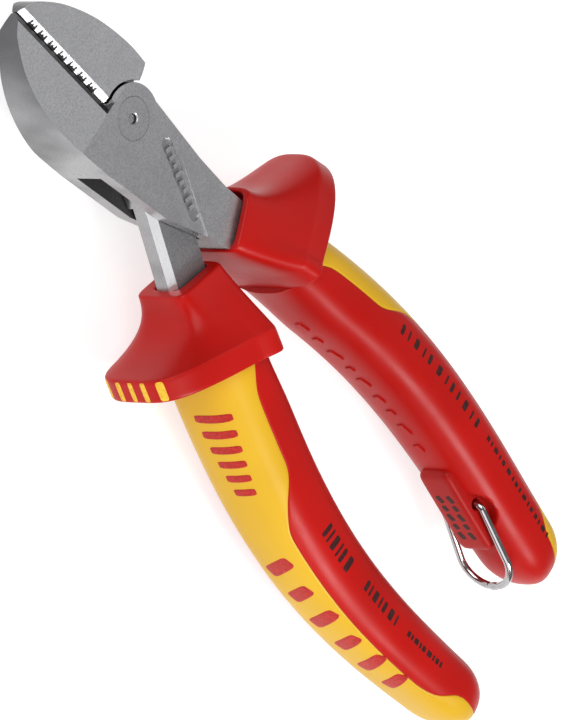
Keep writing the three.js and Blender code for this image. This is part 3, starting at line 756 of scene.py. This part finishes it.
def boss_face(u, v, lift):
    """The tether boss's flat face: u runs down the boss and v across it."""
    return turned(np.stack([-BOSS_FACE - lift, -u, v], -1), BOSS_SLOPE)


def pocket_floor(u, v, lift):
    """The floor of the steel pocket: u runs down its middle line from its upper end and v across it."""
    way = STEEL_POCKET_TO - STEEL_POCKET_FROM
    way = way / np.linalg.norm(way)
    x = STEEL_POCKET_FROM[0] + way[0] * u - way[1] * v
    y = STEEL_POCKET_FROM[1] + way[1] * u + way[0] * v
    return np.stack([x, y, HEAD_DEPTH - STEEL_POCKET_DEPTH + lift], -1)


def right_bevel(u, v, lift):
    """The right blade's front bevel: u is the height above the pivot and v the distance from the cutting
    line. The face's depth falls evenly over 25.6 mm from a height of 3.4 mm to just above the tip, and
    the bevel drops 0.8 mm from its outer edge, 1.3 mm out, to the cutting line."""
    start, length, drop, width = 3.4, 25.6, 0.8, 1.3
    depth = lerp(HEAD_DEPTH, TIP_DEPTH, (u - start) / length)
    return np.stack([v, u, depth - drop * (1 - v / width) + lift], -1)


def row_of_marks(lengths, start, stop, angle, width, turn=0.0, slant=0.0):
    """Marks of the given lengths, spread evenly from one height to another. slant changes the angle
    from the first to the last."""
    share = (np.cumsum(lengths) - np.array(lengths) / 2) / sum(lengths)
    return [
        (lerp(start, stop, t), angle + slant * t, length, width, turn) for t, length in zip(share, lengths)
    ]


# ---- Building ----
def build_steel():
    """Both forgings and the axle."""
    # On the outer half, BLADE takes darkened blade steel (painted shade), SLOT_WALL near-black steel (painted
    # shade in the slot), and LOW_CUT bright blade steel, a painted highlight on step and pocket walls.
    outer = [BLASTED, GROUND, PAINTED_SHADE_BLADE_STEEL, SLOT_SHADE_STEEL, EDGE, TANG_STEEL]
    levels = {WEB_DEPTH + 0.3: SLOT_WALL, HEAD_DEPTH - STEEL_POCKET_DEPTH: POCKET_FLOOR}
    steel_copy("outer_jaw_half", "outer_half_forging", "fixed_half", outer, levels)
    inner = [BLASTED, GROUND, EDGE, TANG_STEEL, EDGE]
    steel_copy("inner_jaw_half", "inner_half_forging", "moving_half", inner, {WEB_DEPTH: SLOT_WALL})
    points, faces = axle()
    finish = [AXLE_STEEL, PAINTED_PIT_SHADE]
    nodes = ["pivot_axle"]
    pin = solid_piece("pivot_axle_pin", points, faces, "fixed_half", finish, nodes, 30)
    middles = np.empty(3 * len(pin.data.polygons))
    pin.data.polygons.foreach_get("center", middles)
    x, y, z = middles.reshape(-1, 3).T
    # The centre mark's faces take the near-black material: painted shade in the dimple.
    painted_shade_mark = (np.hypot(x, y) < CENTRE_MARK * MM) & (z > 1.9 * HEAD_DEPTH * MM)
    pin.data.polygons.foreach_set("material_index", painted_shade_mark.astype(np.int32))


def build_grip(grip, body):
    """One grip's cover and back zone; its hidden liner keeps its node."""
    name = grip["name"]
    points, faces = grip_cover(grip)
    solid_piece(name + "_cover_skin", points, faces, body, [RED], [name + "_grip_cover"], 55)
    points, faces = back_zone(grip)
    nodes = [name + "_grip_back_zone"]
    solid_piece(name + "_back_zone_skin", points, faces, body, [YELLOW], nodes, 55)
    liner = frame["nodes"][name + "_grip_liner"]
    liner.data.materials.clear()
    liner.data.materials.append(LINER)


def build_tether():
    """The boss in the right grip and the ring that swings in it."""
    points, faces = tether_boss()
    solid_piece("tether_boss_block", points, faces, "fixed_half", [BOSS_RED], ["tether_boss"], 50)
    points, faces = tether_ring()
    solid_piece("tether_ring_wire", points, faces, "tether_ring", [CHROME], ["tether_ring"])


def build_marks():
    """Plain prints, inlaid pads, raised bars and the right blade's row of small cuts, painted near-black as
    shade.
    """
    dashes = (2.6, 1.8, 3.2, 1.4, 2.8, 2.2, 1.6, 3.0, 2.0)
    strokes = (0.9, 0.5, 1.2, 0.5, 0.9, 1.3, 0.5, 0.9, 0.6, 1.2, 0.5, 0.9)
    left_print = row_of_marks(strokes[:6], -77, -87, 88, 3.0, 90)
    left_print += row_of_marks(strokes[:7], -91, -102, 92, 2.1, 90)
    left_print += row_of_marks(strokes[:9], -105, -116, 92, 1.1, 90)
    right_print = row_of_marks(strokes, -69, -96, 78, 1.9, 90)
    right_print += row_of_marks(strokes + strokes[:4], -98, -122, 76, 1.0, 90)
    symbol = [(-52 - 2.6 * i, 15, 7 - 0.6 * i, 1.3, 0) for i in range(6)]
    bars = (6.0, 5.2, 6.4, 5.4, 6.0, 5.0)
    slanted = row_of_marks(bars, -77, -114, 0, 2.5, 24, 22)
    pads = [(-42.7, -34 + 17 * i, 3.4, 2.2, 90) for i in range(5)]
    ridges = row_of_marks(dashes, -53, -95, 178, 1.4, 76)
    for name, grip, marks, proud, body, slot, material in (
        ("left_dark_print", LEFT, left_print, 0.03, "moving_half", "cover_red", DARK_PRINT),
        ("right_dark_print", RIGHT, right_print, 0.03, "fixed_half", "cover_red", DARK_PRINT),
        ("left_zone_symbol", LEFT, symbol, 0.06, "moving_half", "zone_yellow", RED_PRINT),
        ("left_zone_print", LEFT, slanted, 0.06, "moving_half", "zone_yellow", RED_PRINT),
        ("left_band_pads", LEFT, pads, 0.05, "moving_half", "cover_red", YELLOW_INLAY),
        ("right_raised_bars", RIGHT, ridges, 0.28, "fixed_half", "cover_red", RED),
    ):
        points, faces = grip_marks(grip, marks, proud)
        solid_piece(name, points, faces, body, [material])
    rows = [(2.1 * i - 3.2, side * 1.15, 1.7 - 0.4 * (i % 2), 1.1, 20) for i in range(5) for side in (-1, 1)]
    points, faces = flat_marks(rows, boss_face, 0.03)
    solid_piece("boss_dark_print", points, faces, "fixed_half", [DARK_PRINT])
    raised = [(1.0 + 1.55 * i, 0, 0.8, 1.7 - 0.35 * (i % 3), 0) for i in range(8)]
    points, faces = flat_marks(raised, pocket_floor, 0.42)
    solid_piece("pocket_bars", points, faces, "fixed_half", [BLASTED])
    # One cut is a short comb: three teeth on a root, each (height, distance, length, width).
    teeth = ((-0.6, 0.55, 0.3, 0.75), (0, 0.42, 0.3, 0.45), (0.6, 0.6, 0.3, 0.85), (0, 0.3, 1.7, 0.34))
    # The cuts are flat near-black pads on the bevel: painted shade along the cutting line.
    shaded_notches = [(9.5 + 2.5 * i + u, v, long, wide, 0) for i in range(7) for u, v, long, wide in teeth]
    points, faces = flat_marks(shaded_notches, right_bevel, 0.012, 0.05)
    solid_piece("bevel_pits_painted_shade", points, faces, "moving_half", [PAINTED_PIT_SHADE])


# ---- Camera, floor and light ----
CAMERA_AZIMUTH = -141.03
CAMERA_ELEVATION = 43.096
CAMERA_ROLL = 92.096
CAMERA_DISTANCE = 1.53221
CAMERA_LENS = 464.374
CAMERA_AIM = to_frame([-0.485, -57.125, 0])


def camera():
    """A long lens that looks at a point on the tool's middle plane, rolled so the tool stands upright."""
    a, e = math.radians(CAMERA_AZIMUTH), math.radians(CAMERA_ELEVATION)
    back = Vector((math.sin(a) * math.cos(e), -math.cos(a) * math.cos(e), math.sin(e)))
    right = (-back).cross(Vector((0, 0, 1))).normalized()
    up = right.cross(-back)
    upright = Matrix((right, up, back)).transposed()
    data = bpy.data.cameras.new("camera")
    data.lens = CAMERA_LENS
    data.sensor_width = 36
    data.clip_start, data.clip_end = 0.05, 20
    holder = bpy.data.objects.new("camera", data)
    holder.rotation_euler = (upright @ Matrix.Rotation(math.radians(CAMERA_ROLL), 3, "Z")).to_euler()
    holder.location = Vector(CAMERA_AIM) + back * CAMERA_DISTANCE
    bpy.context.scene.collection.objects.link(holder)
    bpy.context.scene.camera = holder
    return holder


def softbox(name, direction, distance, size, power, tint=(1, 1, 1)):
    """A large square lamp that shines on the tool from a direction."""
    data = bpy.data.lights.new(name, "AREA")
    data.shape = "RECTANGLE"
    data.size, data.size_y = size
    data.energy = power
    data.color = tint
    lamp = bpy.data.objects.new(name, data)
    way = Vector(direction).normalized()
    lamp.location = Vector(CAMERA_AIM) + way * distance
    lamp.rotation_euler = way.to_track_quat("Z", "Y").to_euler()
    bpy.context.scene.collection.objects.link(lamp)


def studio():
    """A pale floor under the tool, an even pale sky and three softboxes."""
    low = CAD_BOX[0].z - 0.0005
    mesh = bpy.data.meshes.new("floor")
    size = 6.0
    corners = [(-size, -size, low), (size, -size, low), (size, size, low), (-size, size, low)]
    mesh.from_pydata(corners, [], [(0, 1, 2, 3)])
    floor = bpy.data.objects.new("floor", mesh)
    bpy.context.scene.collection.objects.link(floor)
    pale = Finish("pale_floor", (0.45, 0.45, 0.45), 0.95, Emission_Color=(1, 1, 1, 1), Emission_Strength=0.7)
    pale.bump(pale.noise(2, 2), 0.02, 0.05)
    mesh.materials.append(pale.material)
    world = bpy.data.worlds.new("sky")
    world.use_nodes = True
    world.node_tree.nodes["Background"].inputs["Color"].default_value = (1, 1, 1, 1)
    world.node_tree.nodes["Background"].inputs["Strength"].default_value = 0.2
    bpy.context.scene.world = world
    softbox("key", (-0.3, 0.9, 1.0), 0.9, (0.7, 0.7), 5.2)
    softbox("fill", (0.9, -0.2, 1.0), 1.0, (0.8, 0.8), 1.5)
    softbox("side", (-1.0, -0.3, 0.5), 0.9, (0.5, 0.9), 2.2)
    softbox("bevel", (-0.40, -0.57, 0.72), 0.9, (0.3, 0.3), 5)
    bpy.context.scene.view_settings.view_transform = "Standard"


camera()
studio()
build_steel()
build_grip(LEFT, "moving_half")
build_grip(RIGHT, "fixed_half")
build_tether()
build_marks()
